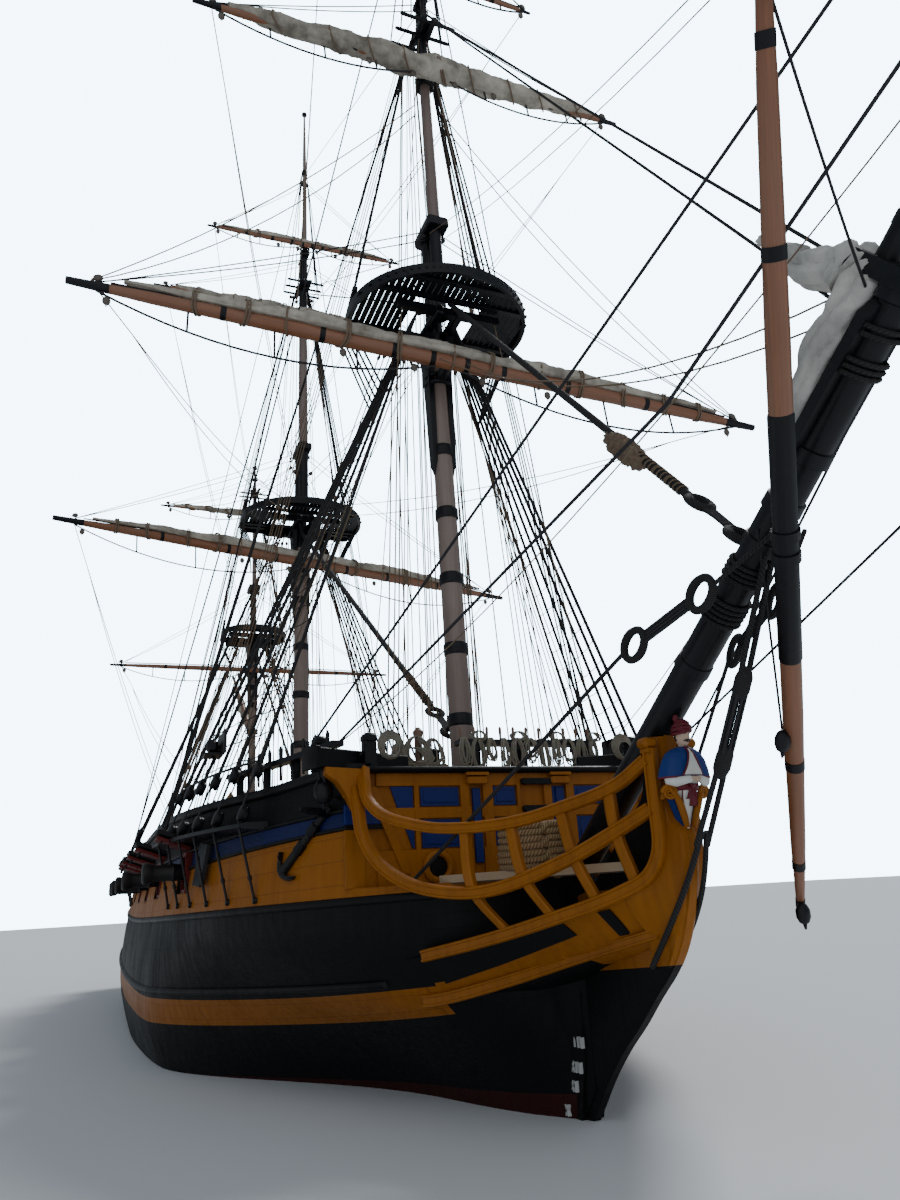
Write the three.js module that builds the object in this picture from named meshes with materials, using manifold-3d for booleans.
// A three-masted square-rigged tall ship at half size, afloat with her sails furled.
// Every size is written in metres of the real ship: +X is the bow, +Y is port, +Z is up.
// The origin is on the centreline, amidships, at the waterline.
import * as THREE from 'three';
import { mergeVertices } from 'three/addons/utils/BufferGeometryUtils.js';
import Module from 'manifold-3d';

const wasm = await Module();
wasm.setup();

// Scale: the model is half the real ship, and one metre of ship is MM millimetres here
const SCALE = 0.5;
const MM = 1000 * SCALE;
const GAP = 0.3 / MM;
const SWELL = 2 * GAP;

// Driving dimensions of the real ship
const DECK_Z = 4.05;
const WELL_DECK_Z = 2.4;
const MAX_BEAM_Z = 1.4;
const KEEL_Z = -3.05;
const KEEL_WIDTH = 0.34;
const BULWARK = 0.22;
const BULKHEAD_X = 13.4;
const HEAD_DECK_Z = 3.05;
const STERNPOST_X = -15.1;
const BOWSPRIT_SLOPE = 0.69;

const COLOURS = {
  black: 0x14151a,
  ochre: 0xd98c10,
  wood: 0xa8703a,
  varnish: 0xb5722e,
  deck: 0xb79a6c,
  canvas: 0xb9b2a4,
  rope: 0x2a2723,
  iron: 0x1d1e21,
  blue: 0x24479b,
};

function paint(colour, roughness = 0.6, metalness = 0) {
  return new THREE.MeshStandardMaterial({ color: colour, roughness, metalness });
}

const vec = (x, y, z) => new THREE.Vector3(x, y, z);

// Closed solid through rings that all have the same number of points, with fanned ends
function loft(rings) {
  const sides = rings[0].length;
  const middle = (ring) => ring.reduce((sum, p) => sum.add(p), vec(0, 0, 0)).divideScalar(sides);
  const points = [...rings.flat(), middle(rings[0]), middle(rings.at(-1))];
  const last = (rings.length - 1) * sides;
  const faces = [];
  for (let j = 0; j < sides; j += 1) {
    const next = (j + 1) % sides;
    for (let i = 0; i < last; i += sides) {
      faces.push([i + j, i + next, i + next + sides], [i + j, i + next + sides, i + j + sides]);
    }
    faces.push([next, j, last + sides], [last + j, last + next, last + sides + 1]);
  }
  const volume = faces.reduce((sum, [a, b, c]) => (
    sum + points[a].dot(points[b].clone().cross(points[c]))), 0);
  const geometry = new THREE.BufferGeometry().setFromPoints(points);
  geometry.setIndex(faces.flatMap(([a, b, c]) => (volume > 0 ? [a, b, c] : [a, c, b])));
  return solid(geometry);
}

function solid(geometry) {
  const shape = geometry.clone();
  shape.deleteAttribute('normal');
  shape.deleteAttribute('uv');
  const merged = mergeVertices(shape, 1e-6);
  return new wasm.Manifold(new wasm.Mesh({
    numProp: 3,
    vertProperties: new Float32Array(merged.attributes.position.array),
    triVerts: new Uint32Array(merged.index.array),
  }));
}

const join = (solids) => solids.reduce((whole, next) => whole.add(next));

function box(x0, x1, y0, y1, z0, z1) {
  const geometry = new THREE.BoxGeometry(x1 - x0, y1 - y0, z1 - z0);
  return solid(geometry.translate((x0 + x1) / 2, (y0 + y1) / 2, (z0 + z1) / 2));
}

// Flat plate: an outline in the X-Z plane, as wide as given about the centreline
function plate(outline, width, y = 0) {
  const shape = new THREE.Shape(outline.map(([x, z]) => new THREE.Vector2(x, z)));
  const geometry = new THREE.ExtrudeGeometry(shape, { depth: width, bevelEnabled: false });
  return solid(geometry.rotateX(Math.PI / 2).translate(0, y + width / 2, 0));
}

// Round bar through points, with one radius or one for each point
function rod(points, radius, sides = 8, squash = 1, spin = 0.5) {
  const path = points.map((p) => (Array.isArray(p) ? vec(...p) : p));
  const radii = Array.isArray(radius) ? radius : path.map(() => radius);
  const tangents = path.map((p, i) => {
    const before = path[Math.max(i - 1, 0)];
    const after = path[Math.min(i + 1, path.length - 1)];
    return after.clone().sub(before).normalize();
  });
  const start = tangents[0];
  let side = (Math.abs(start.z) > 0.9 ? vec(0, 1, 0) : vec(0, 0, 1)).cross(start).normalize();
  return loft(path.map((p, i) => {
    side = side.clone().addScaledVector(tangents[i], -side.dot(tangents[i])).normalize();
    const up = tangents[i].clone().cross(side);
    return Array.from({ length: sides }, (_, k) => {
      const turn = (2 * Math.PI * (k + spin)) / sides;
      return p.clone().addScaledVector(side, radii[i] * Math.cos(turn))
        .addScaledVector(up, radii[i] * squash * Math.sin(turn));
    });
  }));
}

// Collar about a mast: its hole, turned half a side, clears the mast's corners by the gap
const MAST_SIDES = 10;

function collar(x, z0, z1, mastRadius, wall, spars = []) {
  const inner = (mastRadius + GAP) / Math.cos(Math.PI / MAST_SIDES);
  const outside = rod([[x, 0, z0], [x, 0, z1]], inner + wall, MAST_SIDES, 1, 0);
  const hole = rod([[x, 0, z0 - 0.2], [x, 0, z1 + 0.2]], inner, MAST_SIDES, 1, 0);
  return join([outside, ...spars]).subtract(hole);
}

const ship = new THREE.Group();

function piece(name, body, material, parent = ship) {
  const mesh = body.getMesh();
  const geometry = new THREE.BufferGeometry();
  geometry.setAttribute('position', new THREE.BufferAttribute(mesh.vertProperties, 3));
  geometry.setIndex(new THREE.BufferAttribute(mesh.triVerts, 1));
  geometry.scale(MM, MM, MM);
  geometry.computeVertexNormals();
  const node = new THREE.Mesh(geometry, material);
  node.name = name;
  parent.add(node);
  return node;
}

// Hull form, one station a row, aft to forward
// x, keel, half beam, half breadth at the rail, rail height, fullness below, roundness
const STATIONS = [
  [-15.1, 0.9, 3.3, 2.85, 6.2, 0.8, 1.0],
  [-14.0, -2.9, 3.85, 3.2, 6.0, 0.55, 1.0],
  [-12.0, -2.9, 4.4, 3.65, 5.75, 0.9, 1.0],
  [-9.5, -2.9, 4.85, 4.15, 5.45, 1.4, 1.1],
  [-6.0, -2.9, 5.1, 4.5, 5.15, 2.1, 1.3],
  [-1.6, -2.9, 5.2, 4.7, 4.85, 2.5, 1.5],
  [3.0, -2.9, 5.2, 4.7, 4.85, 2.5, 1.5],
  [7.0, -2.9, 5.05, 4.65, 4.75, 2.0, 1.3],
  [10.0, -2.9, 4.55, 4.25, 4.68, 1.5, 1.1],
  [12.0, -2.85, 3.8, 3.55, 4.7, 1.15, 1.0],
  [BULKHEAD_X, -2.4, 2.85, 2.75, 4.85, 1.0, 1.0],
].map(([x, keel, beam, top, rail, full, round]) => ({ x, keel, beam, top, rail, full, round }));

// Round bow below the head deck, in the same columns
const BOW = [
  [BULKHEAD_X - 0.4, -2.5, 3.1, 2.97, HEAD_DECK_Z, 1.0, 1.0],
  [BULKHEAD_X, -2.4, 2.85, 2.81, HEAD_DECK_Z, 1.0, 1.0],
  [14.2, -1.8, 2.05, 2.0, HEAD_DECK_Z, 0.9, 1.0],
  [14.7, -1.0, 1.25, 1.2, HEAD_DECK_Z, 0.8, 1.0],
  [15.0, -0.3, 0.3, 0.3, HEAD_DECK_Z, 0.8, 1.0],
].map(([x, keel, beam, top, rail, full, round]) => ({ x, keel, beam, top, rail, full, round }));

const LEVELS_BELOW = [0, 0.1, 0.28, 0.5, 0.75];
const LEVELS_ABOVE = [0, 0.35, 0.7, 1];

function breadth(station, z) {
  if (z < MAX_BEAM_Z) {
    const depth = Math.min((MAX_BEAM_Z - z) / (MAX_BEAM_Z - station.keel), 1);
    return station.beam * (1 - depth ** station.full) ** (1 / station.round);
  }
  const height = (z - MAX_BEAM_Z) / (station.rail - MAX_BEAM_Z);
  return station.beam - (station.beam - station.top) * height ** 1.5;
}

function stationAt(table, x) {
  const next = Math.max(table.findIndex((s) => s.x >= x), 1);
  const [a, b] = [table[next - 1], table[next]];
  const t = (x - a.x) / (b.x - a.x);
  const blend = {};
  Object.keys(a).forEach((key) => { blend[key] = a[key] + (b[key] - a[key]) * t; });
  return blend;
}

const hullSide = (x, z) => {
  const table = z > HEAD_DECK_Z || x < BULKHEAD_X - 0.4 ? STATIONS : BOW;
  return breadth(stationAt(table, Math.min(x, table.at(-1).x)), z);
};

function sectionRing(station) {
  const keelTop = station.keel + 0.02;
  const below = LEVELS_BELOW.map((t) => keelTop + (MAX_BEAM_Z - keelTop) * t);
  const above = LEVELS_ABOVE.map((t) => MAX_BEAM_Z + (station.rail - MAX_BEAM_Z) * t);
  const half = [...below, ...above].map((z) => [Math.max(breadth(station, z), 0.1), z]);
  const port = half.map(([y, z]) => vec(station.x, y, z));
  return [...port, ...port.toReversed().map((p) => vec(p.x, -p.y, p.z))];
}

// Overhang of the stern: x at the low edge, rake, then height and half breadth three times
const STERN = [
  [-15.0, 0, 1.25, 2.85, 3.0, 3.3, 6.15, 2.85],
  [-16.3, -0.05, 2.2, 2.7, 3.6, 3.1, 6.5, 2.7],
  [-17.0, -0.28, 2.9, 2.55, 4.2, 2.8, 6.95, 2.4],
].map(([x, rake, z0, y0, z1, y1, z2, y2]) => ({ x, rake, z0, y0, z1, y1, z2, y2 }));

function sternRing(row, inset = 0, low = null) {
  const at = (y, z) => vec(row.x + row.rake * (z - row.z0) + (row.rake ? inset : 0), y, z);
  const slope = (row.y2 - row.y1) / (row.z2 - row.z1);
  const floorY = (z) => row.y2 - inset + slope * (z - row.z2);
  const half = low === null
    ? [[row.y0, row.z0], [row.y1, row.z1], [row.y2, row.z2]]
    : [[floorY(low), low], [row.y2 - inset, row.z2 + 0.5]];
  const port = half.map(([y, z]) => at(y, z));
  return [...port, ...port.toReversed().map((p) => vec(p.x, -p.y, p.z))];
}

// Space above a deck, inside the bulwarks
function aboveDeck(x0, x1, deck) {
  const inner = STATIONS.filter((s) => s.x > x0 && s.x < x1).map((s) => s.x);
  return loft([x0, ...inner, x1].map((x) => {
    const station = stationAt(STATIONS, x);
    const low = breadth(station, deck) - BULWARK;
    const top = station.top - BULWARK;
    return [vec(x, low, deck), vec(x, top, station.rail + 0.3),
      vec(x, -top, station.rail + 0.3), vec(x, -low, deck)];
  }));
}

// Mouldings along the side: height at x, depth and how far each stands out
const WALES = [
  { name: 'rail cap', z: (x) => stationAt(STATIONS, x).rail - 0.06, depth: 0.12, out: 0.07 },
  { name: 'wale top', z: (x) => sheer(x, 3.5, 2.75, 2.9), depth: 0.14, out: 0.07 },
  { name: 'lower moulding', z: (x) => sheer(x, 2.2, 1.4, 1.72), depth: 0.1, out: 0.05 },
];
const WALE_STATIONS = [-15.1, -12, -9.5, -6, -1.6, 3, 7, 10, 12, BULKHEAD_X];

// Sheer line through a height at the stern, one amidships and one at the bow
function sheer(x, aft, middle, bow) {
  const low = 3;
  const t = x < low ? (low - x) / (low - STERNPOST_X) : (x - low) / (BULKHEAD_X - low);
  return middle + ((x < low ? aft : bow) - middle) * t * t;
}

function wale({ z, depth, out }, side) {
  return loft(WALE_STATIONS.map((x) => {
    const low = z(x) - depth / 2;
    const high = z(x) + depth / 2;
    const y = (level, more) => side * (breadth(stationAt(STATIONS, x), level) + more);
    return [vec(x, y(low, -0.12), low), vec(x, y(low, out), low),
      vec(x, y(high, out), high), vec(x, y(high, -0.12), high)];
  }));
}

// Gun ports along the gun deck, each with its lid swung up and its barrel run out
const GUN = { first: 8.7, spacing: 2.5, count: 9, width: 0.8, height: 0.72, above: 0.75 };
const GUN_BORE_RADIUS = 0.13;
const gunPlaces = Array.from({ length: GUN.count }, (_, i) => {
  const x = GUN.first - i * GUN.spacing;
  return { x, z: sheer(x, 3.5, 2.75, 2.9) + GUN.above };
});

function gunPortCut({ x, z }, side) {
  const skin = hullSide(x, z);
  const reach = [side * (skin - 0.3), side * (skin + 0.5)].sort((a, b) => a - b);
  const half = GUN.width / 2;
  return box(x - half, x + half, ...reach, z - GUN.height / 2, z + GUN.height / 2);
}

function gunBarrel({ x, z }, side) {
  const skin = hullSide(x, z);
  const places = [-0.4, 0.55, 0.7].map((out) => [x, side * (skin + out), z + 0.02]);
  return rod(places, [1.25, 1, 1.25].map((k) => k * GUN_BORE_RADIUS), 6);
}

function portLid({ x, z }, side) {
  const hinge = z + GUN.height / 2 + 0.06;
  const skin = hullSide(x, hinge);
  const half = GUN.width / 2 + 0.04;
  const profile = [[-0.1, 0], [0.62, 0.22], [0.6, 0.3], [-0.1, 0.08]];
  return loft([x - half, x + half].map((at) => (
    profile.map(([out, up]) => vec(at, side * (skin + out), hinge + up)))));
}

// Gallery on each quarter: x, low and high edge, and how far it stands out
const GALLERY = [
  { x: -17.0, low: 3.5, high: 5.7, out: 0.3 },
  { x: -15.6, low: 3.0, high: 5.6, out: 0.55 },
  { x: -14.4, low: 3.5, high: 5.2, out: 0.12 },
];

function gallery(side) {
  return loft(GALLERY.map(({ x, low, high, out }) => {
    const y = (z) => (x > STERNPOST_X ? breadth(stationAt(STATIONS, x), z) : 3.05);
    return [vec(x, side * (y(low) - 0.4), low), vec(x, side * (y(low) + out * 0.5), low),
      vec(x, side * (y(low) + out), low + 0.5), vec(x, side * (y(high) + out * 0.9), high - 0.35),
      vec(x, side * (y(high) - 0.4), high)];
  }));
}

// Hatches in the decks, each with a raised coaming round it
const COAMING = 0.3;
const HATCHES = [
  { x0: 8.2, x1: 9.6, half: 0.8 },
  { x0: -5.4, x1: -4.2, half: 0.8 },
  { x0: -9.6, x1: -8.4, half: 0.6 },
];

function makeHull() {
  const shell = join([loft(STATIONS.map(sectionRing)), loft(BOW.map(sectionRing)),
    loft(STERN.map((row) => sternRing(row)))]);
  const sternSpace = loft(STERN.map((row) => sternRing(row, 0.25, DECK_Z)));
  const well = loft([-1.6, 6.6].map((x) => [vec(x, 3.55, WELL_DECK_Z), vec(x, 3.55, DECK_Z + 1),
    vec(x, -3.55, DECK_Z + 1), vec(x, -3.55, WELL_DECK_Z)]));
  const sides = [1, -1];
  const ports = sides.flatMap((side) => gunPlaces.map((gun) => gunPortCut(gun, side)));
  const trim = sides.flatMap((side) => [
    ...WALES.map((row) => wale(row, side)),
    ...gunPlaces.flatMap((gun) => [gunBarrel(gun, side), portLid(gun, side)]),
    gallery(side),
  ]);
  const coamings = HATCHES.map(({ x0, x1, half }) => (
    box(x0, x1, -half, half, DECK_Z - 0.1, DECK_Z + COAMING)));
  return shell.subtract(join([aboveDeck(-15.0, BULKHEAD_X - BULWARK, DECK_Z), sternSpace, well]))
    .subtract(join(ports)).add(join([...trim, ...coamings]))
    .subtract(aboveDeck(-15.0, BULKHEAD_X - BULWARK, DECK_Z + COAMING + 0.01));
}

// A body swollen by the seating gap, to cut the socket that holds it
function grown(body) {
  const steps = [[1, 0, 0], [-1, 0, 0], [0, 1, 0], [0, -1, 0], [0, 0, 1], [0, 0, -1]];
  return join(steps.map((step) => body.translate(step.map((k) => k * GAP))));
}

const KEEL_LINE = [
  [STERNPOST_X, 1.2], [STERNPOST_X, KEEL_Z], [11.0, KEEL_Z], [12.3, -2.9], [13.5, -2.25],
  [14.35, -1.25], [14.85, -0.3], [15.2, 0.8], [15.3, 2.75], [14.95, 2.75],
  [14.6, 0.2], [13.6, -1.8], [12, -2.55], [-14.2, -2.75], [-14.7, 1.3],
];
const keelPlate = plate(KEEL_LINE, KEEL_WIDTH);
const keelSlot = join([[0, 0], [0, GAP], [-GAP, 0], [GAP, GAP]].map(([x, z]) => (
  plate(KEEL_LINE, KEEL_WIDTH + 2 * GAP).translate([x, 0, z]))));

// Bowsprit: a straight spar stepped in the bow, with the jibboom lashed along its top
const bowspritAt = (x, lift = 0) => {
  const steep = Math.hypot(1, BOWSPRIT_SLOPE);
  const z = 4.61 + BOWSPRIT_SLOPE * (x - 17.41);
  return vec(x - (lift * BOWSPRIT_SLOPE) / steep, 0, z + lift / steep);
};
const BOWSPRIT = { heel: 14.0, end: 22.15, radius: 0.19 };
const JIBBOOM = { heel: 20.8, tip: 28.35, radius: 0.12, lift: 0.36 };

// Either spar, or with a swell the socket that holds it
const makeBowspritBar = (swell) => rod(
  [BOWSPRIT.heel - swell, 17, 20, BOWSPRIT.end + swell].map((x) => bowspritAt(x)),
  [1, 1.05, 1, 0.8].map((k) => k * BOWSPRIT.radius + swell), 10);
const makeJibboom = (swell) => rod(
  [JIBBOOM.heel - swell, 21.4, 22.4, 26, JIBBOOM.tip].map((x) => bowspritAt(x, JIBBOOM.lift)),
  [0.9, 1, 1, 0.75, 0.4].map((k) => k * JIBBOOM.radius + swell), 10);
const bowspritBar = makeBowspritBar(0);
const bowspritSocket = makeBowspritBar(SWELL);
const jibboom = makeJibboom(0);

const keelLine = keelPlate.subtract(bowspritSocket);

const SPRIT_YARD = {
  sling: [20.42, -0.35, 5.9], along: [0.592, -0.421, 0.687], half: 4.9, radius: 0.115,
  stem: 0.07, post: 0.28,
};

// End of the sling post, square to the bowsprit's axis and towards the spritsail yard
function slingPost(more = 0) {
  const sling = vec(...SPRIT_YARD.sling);
  const line = bowspritAt(21).sub(bowspritAt(20)).normalize();
  const foot = bowspritAt(20).addScaledVector(line, sling.clone().sub(bowspritAt(20)).dot(line));
  return foot.addScaledVector(sling.sub(foot).normalize(), SPRIT_YARD.post + more);
}

function makeBowsprit() {
  const cap = rod([-0.3, 0.62].map((lift) => bowspritAt(BOWSPRIT.end - 0.1, lift)), 0.3, 4, 0.55);
  const saddle = rod([0, 0.3].map((lift) => bowspritAt(21.15, lift)), 0.16, 6);
  const bees = [1, -1].map((side) => {
    const places = [20.5, 20.7, 21.7, 21.9].map((x) => bowspritAt(x, 0.05).add(vec(0, side * 0.2, 0)));
    return rod(places, [0.08, 0.16, 0.16, 0.08], 6);
  });
  const post = rod([slingPost(-SPRIT_YARD.post), slingPost()], 0.1, 6);
  return join([bowspritBar, cap, saddle, post, ...bees]).subtract(makeJibboom(SWELL));
}

// The largest body left after a cut, without the slivers beside it
const largest = (body) => body.decompose().reduce((a, b) => (a.volume() > b.volume() ? a : b));

const bowsprit = makeBowsprit();
const hull = makeHull().subtract(keelSlot).subtract(bowspritSocket);
const hullSolid = join([hull, keelLine]);

// A body cut back from the hull's side, with the seating gap
function offHull(body, side) {
  const steps = [[1, 1], [1, -1], [-1, 1], [-1, -1]];
  return largest(steps.reduce((rest, [x, z]) => (
    rest.subtract(hullSolid.translate([x * GAP, side * GAP, z * GAP]))), body.subtract(hullSolid)));
}

piece('hull', hull, paint(COLOURS.black, 0.45));
piece('keel_and_stem', keelLine, paint(COLOURS.black, 0.5));
piece('bowsprit', bowsprit, paint(COLOURS.black, 0.35));
piece('jibboom', jibboom, paint(COLOURS.black, 0.4));

// Rudder, hung on the sternpost and turning about its rounded leading edge
const RUDDER = { axis: STERNPOST_X - 0.0606, nose: 0.06, top: 1.28, foot: -2.95 };

function rudderRing(z, length, half) {
  const nose = [-60, -30, 0, 30, 60].map((angle) => {
    const turn = (angle * Math.PI) / 180;
    return vec(RUDDER.axis + RUDDER.nose * Math.cos(turn), RUDDER.nose * Math.sin(turn), z);
  });
  const back = RUDDER.axis - length;
  return [...nose, vec(RUDDER.axis - 0.28, half, z), vec(back, half * 0.7, z),
    vec(back, -half * 0.7, z), vec(RUDDER.axis - 0.28, -half, z)];
}

piece('rudder', loft([rudderRing(RUDDER.foot, 1.05, 0.14), rudderRing(-1.2, 0.95, 0.15),
  rudderRing(0.3, 0.72, 0.16), rudderRing(RUDDER.top, 0.4, 0.17)]), paint(COLOURS.black, 0.5));

// Head: the knee under the bowsprit, the bow's fairing into it, its cheeks and three rails a side
const KNEE_WIDTH = 0.22;
const KNEE_FRONT = [
  [14.2, -1.6], [14.81, -0.27], [15.14, 0.08], [15.6, 0.58], [16.02, 0.95], [16.42, 1.25],
  [16.81, 1.62], [17.1, 1.85], [17.24, 2.04], [17.51, 2.58], [17.65, 2.9], [17.8, 3.25],
];
const KNEE_BACK = [
  [17.78, 3.42], [17.64, 3.46], [17.64, 4.6], [17.25, 4.3], [17.15, 3.9], [15.6, 2.84],
  [15.0, 2.7], [14.7, 1.5], [14.1, -1.2],
];

// Rails of the head and the lower cheek: x, half breadth, height, from the bow forward
const UPPER_RAIL = [[13.62, 2.88, 4.76], [13.85, 2.74, 4.61], [13.92, 2.69, 4.28], [14.15, 2.54, 4.04],
  [14.57, 2.27, 3.86], [15.04, 1.97, 3.75], [16.02, 1.33, 3.73], [16.59, 0.95, 3.84], [17.25, 0.52, 4.04],
  [17.58, 0.3, 4.28]];
const MIDDLE_RAIL = [[13.5, 3.3, 4.78], [13.72, 2.98, 4.5], [13.8, 2.77, 4.16], [13.84, 2.74, 3.83],
  [14.07, 2.6, 3.41], [14.48, 2.33, 3.09], [14.99, 1.99, 2.93], [15.62, 1.59, 2.91], [16.57, 0.97, 3.2],
  [17.23, 0.54, 3.52], [17.56, 0.31, 3.71]];
const LOWER_RAIL = [[14.26, 2.02, 2.11], [15.29, 1.49, 2.31], [16.08, 1.08, 2.5], [17.07, 0.52, 2.8],
  [17.4, 0.33, 2.97], [17.57, 0.27, 3.22], [17.61, 0.265, 3.75], [17.63, 0.265, 4.56]];
const LOWER_CHEEK = [[14.4, 1.9, 1.56], [15.44, 1.29, 1.81], [16.29, 0.79, 2.06], [17.26, 0.22, 2.34]];
const RAIL_SIZES = { rail: 0.1, cheek: 0.1, timber: 0.08 };

function alongPath(path, x) {
  const next = Math.max(path.findIndex((p) => p[0] >= x), 1);
  const [a, b] = [path[next - 1], path[next]];
  const t = (x - a[0]) / (b[0] - a[0]);
  return a.map((v, k) => v + (b[k] - v) * t);
}

// Fairing: fills the bow between the lower rail and the lower cheek
const FAIRING_STATIONS = [14.5, 15.3, 16.1, 16.8, 17.2];
const FAIRING_INSET = 0.06;

function makeFairing() {
  return loft(FAIRING_STATIONS.map((x) => {
    const [, topY, topZ] = alongPath(LOWER_RAIL, x);
    const [, lowY, lowZ] = alongPath(LOWER_CHEEK, x);
    const top = topY - FAIRING_INSET;
    const low = lowY - FAIRING_INSET;
    return [vec(x, top, topZ), vec(x, -top, topZ), vec(x, -low, lowZ), vec(x, low, lowZ)];
  }));
}

function makeKnee() {
  const cheeks = [1, -1].map((side) => (
    rod(LOWER_CHEEK.map(([x, y, z]) => [x, side * y, z]), RAIL_SIZES.cheek, 4)));
  const knee = join([plate([...KNEE_FRONT, ...KNEE_BACK], KNEE_WIDTH), makeFairing(), ...cheeks]);
  return offHull(offHull(knee.subtract(bowspritSocket), 1), -1);
}

const knee = makeKnee();
piece('head_knee', knee, paint(COLOURS.ochre, 0.45));

// Bulkhead across the head, with its pilasters and cap rail
const BULKHEAD = { half: 2.6, top: 4.7, cap: 4.8, posts: [-2.3, -1.5, -0.7, 0.7, 1.5, 2.3] };

function makeBulkhead() {
  const { half, top, cap, posts } = BULKHEAD;
  const wall = box(BULKHEAD_X + GAP, BULKHEAD_X + 0.16, -half, half, HEAD_DECK_Z + GAP, top);
  const pilasters = posts.map((y) => (
    box(BULKHEAD_X + 0.1, BULKHEAD_X + 0.24, y - 0.09, y + 0.09, 3.2, top)));
  const rail = box(BULKHEAD_X + 0.02, BULKHEAD_X + 0.34, -half - 0.06, half + 0.06, top, cap);
  return join([wall, ...pilasters, rail]).subtract(bowspritSocket);
}

const bulkhead = makeBulkhead();
piece('beakhead_bulkhead', bulkhead, paint(COLOURS.ochre, 0.45));

// Cathead: a square beam out over the bow
const CATHEAD = { root: [12.85, 2.1, 4.94], end: [13.5, 3.42, 4.94], size: 0.16 };

function cathead(side) {
  const flip = ([x, y, z]) => [x, side * y, z];
  const beam = rod([flip(CATHEAD.root), flip(CATHEAD.end)], CATHEAD.size * Math.SQRT2, 4);
  return offHull(offHull(beam, side), -side);
}

// Timbers of the head: x where each crosses the upper, middle and lower rail
const HEAD_TIMBERS = [
  [15.34, 15.41, 15.58], [15.94, 16.06, 16.21], [16.56, 16.67, 16.77], [17.13, 17.17, 17.24],
];

function makeHeadRails(side) {
  const flip = ([x, y, z]) => [x, side * y, z];
  const paths = [UPPER_RAIL, MIDDLE_RAIL, LOWER_RAIL];
  const rails = paths.map((path) => rod(path.map(flip), RAIL_SIZES.rail, 4));
  const timbers = HEAD_TIMBERS.map((places) => (
    rod(places.map((x, i) => flip(alongPath(paths[i], x))), RAIL_SIZES.timber, 4)));
  const clear = [knee, bulkhead, cathead(side)].reduce((rest, other) => (
    rest.subtract(grown(other))), join([...rails, ...timbers]));
  return offHull(clear, side);
}

[['port', 1], ['starboard', -1]].forEach(([hand, side]) => {
  piece(`head_rails_${hand}`, makeHeadRails(side), paint(COLOURS.ochre, 0.45));
});

// Grating over the knee, between the rails
const HEAD_FLOOR = { z: 3.06, thick: 0.08, x0: 14.3, x1: 17.0, half0: 1.7, half1: 0.36 };

function makeHeadFloor() {
  const { z, thick, x0, x1, half0, half1 } = HEAD_FLOOR;
  const slab = loft([z, z + thick].map((level) => [
    vec(x0, half0, level), vec(x1, half1, level), vec(x1, -half1, level), vec(x0, -half0, level)]));
  const slotPlaces = Array.from({ length: 3 }, (_, i) => x0 + 0.55 + i * 0.55);
  const slots = slotPlaces.flatMap((x) => [1, -1].map((side) => {
    const reach = [side * 0.3, side * (1.2 - (x - x0) * 0.4)].sort((a, b) => a - b);
    return box(x, x + 0.3, ...reach, z - 0.1, z + 0.2);
  }));
  const way = box(x0 + 0.6, x1 + 0.1, -0.26, 0.26, z - 0.1, z + 0.2);
  return slab.subtract(join([...slots, way])).subtract(grown(knee));
}

piece('head_floor', largest(makeHeadFloor().subtract(bowspritSocket)), paint(COLOURS.deck, 0.8));

// Anchor stowed on the side, abaft the cathead
const ANCHOR = { shank: [[13.2, 3.03, 4.25], [12.35, 3.59, 3.35]], arm: 0.5, stock: 0.5 };

function makeAnchor(side) {
  const flip = ([x, y, z]) => [x, side * y, z];
  const [ring, crown] = ANCHOR.shank;
  const shank = rod([flip(ring), flip(crown)], [0.08, 0.11], 6);
  const arm = (lift) => rod([flip(crown), [crown[0] + 0.22, side * (crown[1] + 0.08), crown[2] + lift * 0.5],
    [crown[0] + 0.5, side * (crown[1] - 0.1), crown[2] + lift]], [0.11, 0.09, 0.05], 6);
  const stock = rod([[ring[0] - 0.35, side * (ring[1] + 0.18), ring[2] - ANCHOR.stock],
    [ring[0] - 0.15, side * (ring[1] + 0.12), ring[2] + ANCHOR.stock * 0.35]], 0.09, 4);
  return offHull(join([shank, arm(ANCHOR.arm * 0.6), arm(-ANCHOR.arm), stock]), side);
}

const HANDS = [['port', 1], ['starboard', -1]];
HANDS.forEach(([hand, side]) => {
  piece(`cathead_${hand}`, cathead(side), paint(COLOURS.black, 0.45));
  piece(`anchor_${hand}`, makeAnchor(side), paint(COLOURS.iron, 0.6, 0.4));
});

// Figurehead: a turbaned half figure rising from a scroll on the knee
const FIGURE = [
  [17.76, 3.38, 0.1, 0.12], [17.83, 3.6, 0.13, 0.14], [17.88, 3.82, 0.2, 0.22], [17.87, 3.96, 0.21, 0.25],
  [17.86, 4.2, 0.19, 0.245], [17.88, 4.33, 0.13, 0.19], [17.92, 4.39, 0.07, 0.07], [17.94, 4.45, 0.1, 0.085],
  [17.95, 4.54, 0.12, 0.1], [17.93, 4.61, 0.14, 0.13], [17.92, 4.68, 0.11, 0.11], [17.92, 4.73, 0.04, 0.04],
];

function makeFigure() {
  return loft(FIGURE.map(([x, z, deep, wide]) => Array.from({ length: 8 }, (_, k) => {
    const turn = (2 * Math.PI * (k + 0.5)) / 8;
    return vec(x + deep * Math.cos(turn), wide * Math.sin(turn), z);
  }))).subtract(grown(knee)).subtract(bowspritSocket);
}

piece('figurehead', largest(makeFigure()), paint(COLOURS.blue, 0.4));

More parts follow.
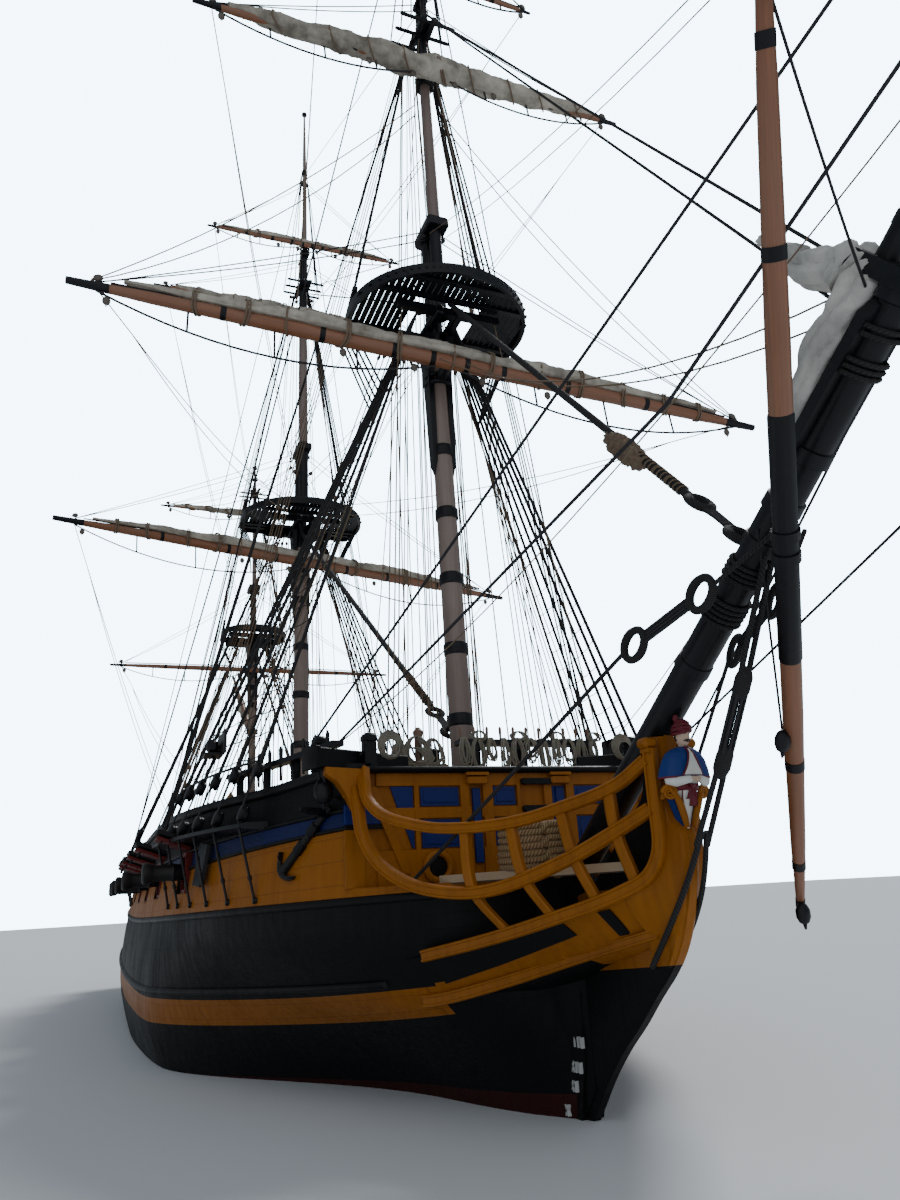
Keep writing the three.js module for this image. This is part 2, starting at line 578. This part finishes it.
// Masts: each stands in its own frame, tilted aft by its rake, with z up the mast.
// Lower mast from foot through top to cap, topmast to its crosstrees and cap, the head at the truck
const MASTS = {
  fore: {
    x: 11.41, rake: 0.0178, foot: DECK_Z, top: 14.8, cap: 17.3, radius: 0.225,
    cross: 23.3, topCap: 24.5, truck: 32.6, gallant: true,
  },
  main: {
    x: -2.48, rake: 0.0018, foot: DECK_Z, top: 15.89, cap: 18.75, radius: 0.265,
    cross: 25.85, topCap: 27.3, truck: 34.7, gallant: true,
  },
  mizzen: {
    x: -11.8, rake: 0.0566, foot: DECK_Z, top: 14.58, cap: 16.9, radius: 0.17,
    cross: 21.9, truck: 23.5, gallant: false,
  },
};

const TOPS = {
  fore: { back: 1.05, front: 1.85, half: 2.0, x: 0.15 },
  main: { back: 1.1, front: 1.95, half: 2.15, x: 0.15 },
  mizzen: { back: 0.8, front: 1.25, half: 1.45, x: 0.1 },
};

// Where each spar stands ahead of the one below it, in radii of the lower one
const LEAD = { topmast: 1.85, gallant: 1.95 };
const SPAR_SIZES = { head: 0.8, topmast: 0.62, gallant: 0.6 };

// Heights and radii of the three spars of a mast, from the foot up
function mastSpars(mast) {
  const { radius, top, cap, foot, cross, topCap, truck, gallant, rake } = mast;
  const lead = radius * LEAD.topmast;
  const headRadius = radius * SPAR_SIZES.head;
  const topmastRadius = radius * SPAR_SIZES.topmast;
  const gallantLead = lead + topmastRadius * LEAD.gallant;
  const gallantRadius = topmastRadius * SPAR_SIZES.gallant;
  const heel = (foot + GAP) * Math.hypot(1, rake) + radius * rake;
  const profiles = {
    lower: [[heel, radius], [(foot + top) / 2, radius * 0.95], [top - 0.3, headRadius],
      [cap, headRadius * 0.9]],
    topmast: [[top + 0.06, topmastRadius], [cap, topmastRadius], [cross, topmastRadius * 0.85],
      [gallant ? topCap : truck, topmastRadius * (gallant ? 0.7 : 0.35)]],
    topgallant: [[cross + 0.2, gallantRadius], [topCap, gallantRadius],
      [truck - 2.5, gallantRadius * 0.75], [truck - 0.12, gallantRadius * 0.4]],
  };
  const leads = { lower: 0, topmast: lead, topgallant: gallantLead };
  const bar = (level, swell = 0) => {
    const places = profiles[level].map(([z], i) => [leads[level], 0, i ? z : z - swell]);
    return rod(places, profiles[level].map(([, r]) => r + swell), MAST_SIDES);
  };
  return { lead, headRadius, topmastRadius, gallantLead, gallantRadius, profiles, leads, bar };
}

function radiusAt(profile, z) {
  const next = Math.max(profile.findIndex(([height]) => height >= z), 1);
  const [[z0, r0], [z1, r1]] = [profile[next - 1], profile[next]];
  return r0 + ((r1 - r0) * (z - z0)) / (z1 - z0);
}

// Trestle trees and cap of a lower mast
function makeLowerMast(mast, spars) {
  const { top, cap } = mast;
  const { headRadius, lead, topmastRadius, bar } = spars;
  const trees = [1, -1].map((side) => {
    const width = [side * headRadius * 0.8, side * (headRadius + 0.14)].sort((a, b) => a - b);
    return box(-0.75, lead + 0.55, ...width, top - 0.22, top);
  });
  const reach = headRadius + 1;
  const crossbars = [-0.74, lead + 0.35].map((x) => box(x, x + 0.14, -reach, reach, top - 0.2, top));
  const capBlock = box(-headRadius - 0.08, lead + topmastRadius + 0.12, -0.26, 0.26, cap - 0.05, cap + 0.2);
  return join([bar('lower'), ...trees, ...crossbars, capBlock]).subtract(bar('topmast', SWELL));
}

// Crosstrees and cap of a topmast: each bar's place ahead of the mast
const CROSSTREES = { bars: [-0.35, 0.05, 0.45], half: 0.72, thick: 0.08 };

function makeTopmast(mast, spars) {
  const { cross, topCap, gallant } = mast;
  const { lead, topmastRadius, gallantLead, gallantRadius, bar } = spars;
  const topmast = bar('topmast');
  const { half, thick } = CROSSTREES;
  const bars = CROSSTREES.bars.map((x) => (
    box(lead + x, lead + x + thick, -half, half, cross, cross + thick)));
  const trees = [1, -1].map((side) => {
    const reach = [side * topmastRadius * 0.5, side * (topmastRadius + 0.06)].sort((a, b) => a - b);
    return box(lead - 0.5, lead + 0.62, ...reach, cross, cross + 0.1);
  });
  if (!gallant) return join([topmast, ...bars.slice(0, 2), ...trees]);
  const capFront = gallantLead + gallantRadius + 0.08;
  const cap = box(lead - 0.12, capFront, -0.14, 0.14, topCap - 0.1, topCap + 0.02);
  const heel = box(gallantLead - 0.16, gallantLead + 0.16, -0.2, 0.2, cross + 0.1, cross + 0.2 - GAP);
  return join([topmast, ...bars, ...trees, cap, heel]).subtract(bar('topgallant', SWELL));
}

// Top: a slotted platform, square aft and round forward, resting on the trestle trees
function makeTop(mast, spars, plan) {
  const outline = [[-plan.back, -plan.half], [plan.x, -plan.half]];
  const arcSteps = 6;
  for (let i = 1; i < arcSteps; i += 1) {
    const turn = -Math.PI / 2 + (Math.PI * i) / arcSteps;
    outline.push([plan.x + (plan.front - plan.x) * Math.cos(turn), plan.half * Math.sin(turn)]);
  }
  outline.push([plan.x, plan.half], [-plan.back, plan.half]);
  const low = mast.top + GAP;
  const slab = (z0, z1, shrink) => loft([z0, z1].map((z) => (
    outline.map(([x, y]) => vec((x - 0.3) * shrink + 0.3, y * shrink, z)))));
  const rim = slab(low, low + 0.17, 1).subtract(slab(low + 0.08, low + 0.3, 0.94));
  const hole = box(-0.62, spars.lead + 0.28, -0.85, 0.85, low - 0.1, low + 0.3);
  const slots = [1, -1].flatMap((side) => [0.45, 0.66, 0.87].flatMap((across) => {
    const y = side * plan.half * across;
    return [[-plan.back * 0.8, -0.25], [0, plan.front * 0.45]].map(([x0, x1]) => (
      box(x0, x1, y - 0.07, y + 0.07, low - 0.1, low + 0.3)));
  }));
  return rim.subtract(join([hole, ...slots.filter((_, i) => plan.half > 1.5 || i % 2)]));
}

const mastFrames = {};

Object.entries(MASTS).forEach(([name, mast]) => {
  const frame = new THREE.Group();
  frame.position.set(mast.x * MM, 0, 0);
  frame.rotation.y = -Math.atan(mast.rake);
  ship.add(frame);
  const spars = mastSpars(mast);
  const lowerMast = makeLowerMast(mast, spars);
  const top = makeTop(mast, spars, TOPS[name]);
  const topmast = makeTopmast(mast, spars);
  const gallant = mast.gallant ? [spars.bar('topgallant')] : [];
  mastFrames[name] = { frame, spars, mast, fixed: join([lowerMast, top, topmast, ...gallant]) };
  piece(`${name}_lower_mast`, lowerMast, paint(COLOURS.wood, 0.55), frame);
  piece(`${name}_top`, top, paint(COLOURS.black, 0.6), frame);
  piece(`${name}_topmast`, topmast, paint(COLOURS.varnish, 0.5), frame);
  gallant.forEach((bar) => (
    piece(`${name}_topgallant_mast`, bar, paint(COLOURS.varnish, 0.5), frame)));
});

// Yards: the spar each hangs on, height on the mast, half length, brace and tilt in degrees,
// radius, and radius of the furled sail
const YARDS = [
  ['fore_yard', 'fore', 'lower', 13.47, 7.48, -3.6, 4.9, 0.16, 0.17],
  ['fore_topsail_yard', 'fore', 'topmast', 21.8, 5.7, 5.5, -8.5, 0.12, 0.22],
  ['fore_topgallant_yard', 'fore', 'topgallant', 24.75, 2.9, 0, 0, 0.075, 0],
  ['main_yard', 'main', 'lower', 14.13, 8.4, 12.5, 0.3, 0.17, 0.17],
  ['main_topsail_yard', 'main', 'topmast', 24.3, 5.6, 2, 0, 0.13, 0.21],
  ['main_topgallant_yard', 'main', 'topgallant', 27.5, 3.83, 1.5, -2.4, 0.09, 0.1],
  ['crossjack_yard', 'mizzen', 'lower', 12.85, 6, -8.4, 2.6, 0.11, 0],
  ['mizzen_topsail_yard', 'mizzen', 'topmast', 20.65, 4.35, 0, 0, 0.09, 0.13],
].map(([name, mast, on, z, half, brace, tilt, radius, sail]) => (
  { name, mast, on, z, half, brace, tilt, radius, sail }));
const YARD_AHEAD = { lower: 0.45, topmast: 0.18, topgallant: 0.18 };
const PARREL = { half: 0.13, wall: 0.07 };
const YARD_TAPER = [[-1, 0.45], [-0.8, 0.72], [-0.4, 0.95], [0.4, 0.95], [0.8, 0.72], [1, 0.45]];
const SAIL_TAPER = [[-0.86, 0.35], [-0.62, 0.8], [-0.36, 1.1], [-0.12, 0.9], [0, 1.1],
  [0.12, 0.9], [0.36, 1.1], [0.62, 0.8], [0.86, 0.35]];

function makeYard(yard) {
  const { profiles, leads } = mastFrames[yard.mast].spars;
  const x = leads[yard.on];
  const low = yard.z - PARREL.half;
  const radius = radiusAt(profiles[yard.on], low);
  const [brace, tilt] = [yard.brace, yard.tilt].map(THREE.MathUtils.degToRad);
  const flat = Math.cos(tilt);
  const along = vec(Math.sin(brace) * flat, -Math.cos(brace) * flat, Math.sin(tilt));
  const ahead = (out) => vec(x + out * Math.cos(brace), out * Math.sin(brace), yard.z);
  const middle = ahead(radius + yard.radius + YARD_AHEAD[yard.on]);
  const bar = (taper, lift, size, sides) => {
    const places = taper.map(([t]) => (
      middle.clone().addScaledVector(along, t * yard.half).add(vec(0, 0, lift))));
    return rod(places, taper.map(([, k]) => k * size), sides);
  };
  const spar = bar(YARD_TAPER, 0, yard.radius, 8);
  const parrel = collar(x, low, yard.z + PARREL.half, radius, PARREL.wall);
  const yoke = rod([ahead(radius + 0.05), middle], Math.min(0.1, yard.radius * 0.8), 4);
  const whole = join([spar, parrel, yoke]);
  if (!yard.sail) return { whole };
  const fold = bar(SAIL_TAPER, yard.radius * 0.75 + yard.sail * 0.55, yard.sail, 6);
  const cut = join([bar(YARD_TAPER, 0, yard.radius + 2 * SWELL, 8), grown(join([parrel, yoke]))]);
  return { whole, fold: largest(fold.subtract(cut)) };
}

YARDS.forEach((yard) => {
  const { whole, fold } = makeYard(yard);
  const { frame } = mastFrames[yard.mast];
  piece(yard.name, whole, paint(COLOURS.varnish, 0.5), frame);
  if (fold) piece(yard.name.replace('yard', 'sail'), fold, paint(COLOURS.canvas, 0.95), frame);
});

// Gaff and boom abaft the mizzen mast, with the spanker brailed up to the gaff
const GAFF = { throat: 10.2, rise: 4.3, length: 5.4, radius: 0.1 };
const BOOM = { z: 7.0, length: 6.0, rise: 1.2, radius: 0.12 };

// Jaws: a loose ring round the mast that carries the inner end of a spar
function makeJawedSpar(z, length, rise, radius) {
  const mast = radiusAt(mastFrames.mizzen.spars.profiles.lower, z - 0.1);
  const places = [0.05, length * 0.5, length].map((out) => (
    [-mast - out, 0, z + (out > radius ? (out / length) * rise : 0)]));
  const spar = rod(places, [radius, radius, radius * 0.55], 8);
  return collar(0, z - 0.1, z + 0.1, mast, 0.08, [spar]);
}

const gaff = makeJawedSpar(GAFF.throat, GAFF.length, GAFF.rise, GAFF.radius);
const boom = makeJawedSpar(BOOM.z, BOOM.length, BOOM.rise, BOOM.radius);

// Brailed sail under the gaff: share of the gaff's length and radius
const SPANKER = [[0.1, 0.06], [0.3, 0.2], [0.55, 0.17], [0.85, 0.1]];
const spankerPlaces = SPANKER.map(([t]) => (
  [-0.3 - GAFF.length * t, 0, GAFF.throat + GAFF.rise * t - 0.2]));
const spanker = rod(spankerPlaces, SPANKER.map(([, r]) => r), 6).subtract(grown(gaff));
piece('gaff', gaff, paint(COLOURS.varnish, 0.5), mastFrames.mizzen.frame);
piece('boom', boom, paint(COLOURS.varnish, 0.5), mastFrames.mizzen.frame);
piece('spanker', largest(spanker), paint(COLOURS.canvas, 0.95), mastFrames.mizzen.frame);

// Spritsail yard, topped up nearly fore and aft on a stem that meets the bowsprit's sling post
function makeSpritYard() {
  const { sling, along, half, radius } = SPRIT_YARD;
  const way = vec(...along).normalize();
  const spar = rod(YARD_TAPER.map(([t]) => vec(...sling).addScaledVector(way, t * half)),
    YARD_TAPER.map(([, k]) => k * radius), 8);
  return join([spar, rod([slingPost(GAP), vec(...sling)], SPRIT_YARD.stem, 6)]);
}

piece('spritsail_yard', makeSpritYard(), paint(COLOURS.varnish, 0.5));

// Shrouds: channel on the side, deadeyes, chain plates and the shrouds up to a collar at the top
const GANGS = {
  fore: { count: 6, x0: 11.75, x1: 7.9, z: 4.12, width: 0.5 },
  main: { count: 7, x0: -2.3, x1: -7.2, z: 4.3, width: 0.55 },
  mizzen: { count: 4, x0: -12.0, x1: -14.4, z: 5.0, width: 0.45 },
};
const SHROUD_RADIUS = 0.03;
const DEADEYE = { radius: 0.13, thick: 0.1, apart: 0.75 };

function makeGang(name, side) {
  const { count, x0, x1, z, width } = GANGS[name];
  const { mast, spars } = mastFrames[name];
  const steps = Array.from({ length: 5 }, (_, i) => x0 + 0.3 + ((x1 - x0 - 0.6) * i) / 4);
  const edge = (x) => hullSide(x, z) + width;
  const channel = loft(steps.map((x) => [
    vec(x, side * (edge(x) - width - 0.25), z - 0.06), vec(x, side * edge(x), z - 0.06),
    vec(x, side * edge(x), z + 0.06), vec(x, side * (edge(x) - width - 0.25), z + 0.06)]));
  const headX = mast.x - mast.rake * mast.top;
  const headY = spars.headRadius + 0.26;
  const inner = radiusAt(spars.profiles.lower, mast.top + 0.2) + GAP;
  const reach = [side * inner, side * (headY + 0.06)].sort((a, b) => a - b);
  const head = box(headX - 0.3, headX + 0.3, ...reach, mast.top + 0.2, mast.top + 0.5);
  const lines = Array.from({ length: count }, (_, i) => {
    const x = x0 + ((x1 - x0) * i) / (count - 1);
    const foot = vec(x, side * (edge(x) - 0.06), z);
    const top = vec(headX + 0.02 - (0.3 * i) / (count - 1), side * headY, mast.top + 0.35);
    const up = top.clone().sub(foot).normalize();
    const at = (d) => foot.clone().addScaledVector(up, d);
    const disc = (d) => rod([at(d - DEADEYE.radius), at(d + DEADEYE.radius)], DEADEYE.radius * 0.75, 4);
    const plateFoot = vec(x, side * (hullSide(x, z - 1.15) + 0.03), z - 1.15);
    return join([rod([at(-0.05), top], SHROUD_RADIUS, 4), disc(0.2), disc(0.2 + DEADEYE.apart),
      rod([foot, plateFoot], 0.04, 4)]);
  });
  return offHull(join([channel, head, ...lines]), side);
}

Object.keys(GANGS).forEach((name) => {
  HANDS.forEach(([hand, side]) => {
    piece(`${name}_shrouds_${hand}`, makeGang(name, side), paint(COLOURS.rope, 0.8));
  });
});

// Stays on the centreline, each from a mast down to what it is set up on: x and height, radii
const STAYS = [
  ['fore_stay', [[12.08, 14.88], [18.3, 7.75], [19.0, 7.0], [19.6, 6.4]], [0.06, 0.06, 0.14, 0.1]],
  ['main_stay', [[-2.4, 15.6], [9.9, 6.5], [11.2, 5.54]], [0.07, 0.07, 0.12]],
  ['mizzen_stay', [[-12.55, 14.35], [-3.5, 7.0], [-2.6, 6.27]], [0.045, 0.045, 0.09]],
  ['fore_topmast_stay', [[11.5, 24.2], [21.8, 8.0]], [0.04, 0.04]],
  ['main_topmast_stay', [[-2.05, 25.75], [11.15, 15.5]], [0.04, 0.04]],
  ['bobstay', [[19.82, 6.05], [19.1, 4.85], [18.6, 4.1], [17.2, 2.1]], [0.09, 0.13, 0.06, 0.05]],
];

// What the stays are set up on, swollen by the gap, with the masts in the ship's frame
const mastsInShip = Object.values(mastFrames).map(({ mast, fixed }) => (
  fixed.rotate([0, -THREE.MathUtils.radToDeg(Math.atan(mast.rake)), 0]).translate([mast.x, 0, 0])));
const holders = [bowsprit, knee, jibboom, ...mastsInShip].map(grown);

STAYS.forEach(([name, points, radii]) => {
  const line = rod(points.map(([x, z]) => [x, 0, z]), radii, 6);
  const clear = holders.reduce((body, other) => body.subtract(other), line);
  piece(name, largest(clear), paint(COLOURS.rope, 0.8));
});

export default ship;
